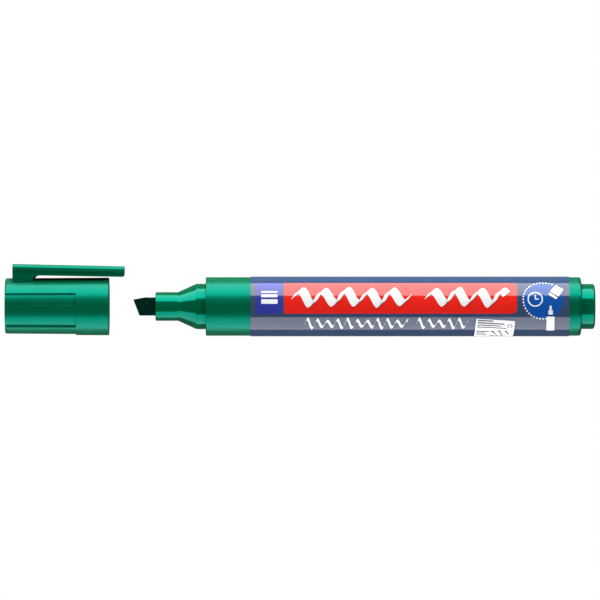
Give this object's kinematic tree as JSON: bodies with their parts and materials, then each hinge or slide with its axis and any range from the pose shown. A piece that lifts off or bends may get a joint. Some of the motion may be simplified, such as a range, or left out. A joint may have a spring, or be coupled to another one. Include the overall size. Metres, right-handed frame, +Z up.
{
  "type": "whiteboard marker",
  "caption": "Chisel-nib whiteboard marker with a printed barrel sleeve, a pull-off fluted cap with a pocket clip, an ink reservoir and a plugged rear end.",
  "frame": {"origin": "on the barrel's axis, at the middle of the printed sleeve", "axes": "X along the marker, with the writing end towards -X and the rear plug towards +X; +Z up through the cap's clip at rest"},
  "size_m": [0.1659, 0.0168, 0.0204],
  "materials": {
    "green_moulding": "satin",
    "green_polished": "gloss",
    "printed_film": "gloss",
    "nib_felt": "matte",
    "reservoir_fibre": "matte",
    "clear_film": "gloss",
    "natural_moulding": "satin"
  },
  "bodies": {
    "marker": {"barrel": "green_moulding", "barrel_sleeve": "printed_film", "nib_holder": "green_polished", "nib": "nib_felt", "ink_reservoir": "reservoir_fibre", "reservoir_wrap": "clear_film", "end_plug": "green_polished"},
    "cap_liner": {"cap_seal": "natural_moulding"},
    "cap": {"cap_shell": "green_moulding"},
    "clip": {"clip_arm": "green_moulding"}
  },
  "joints": [
    {"name": "cap_slide", "type": "slide", "parent": "marker", "child": "cap_liner", "axis": [1, 0, 0], "range_m": [0, 0.027]},
    {"name": "cap_turn", "type": "hinge", "parent": "cap_liner", "child": "cap", "pos_m": [-0.1, 0, 0], "axis": [1, 0, 0], "continuous": true},
    {"name": "clip_flex", "type": "hinge", "parent": "cap", "child": "clip", "pos_m": [-0.10435, 0, 0.01179], "axis": [0, -1, 0], "range_deg": [0, 4], "stiffness_Nm_per_rad": 1}
  ]
}
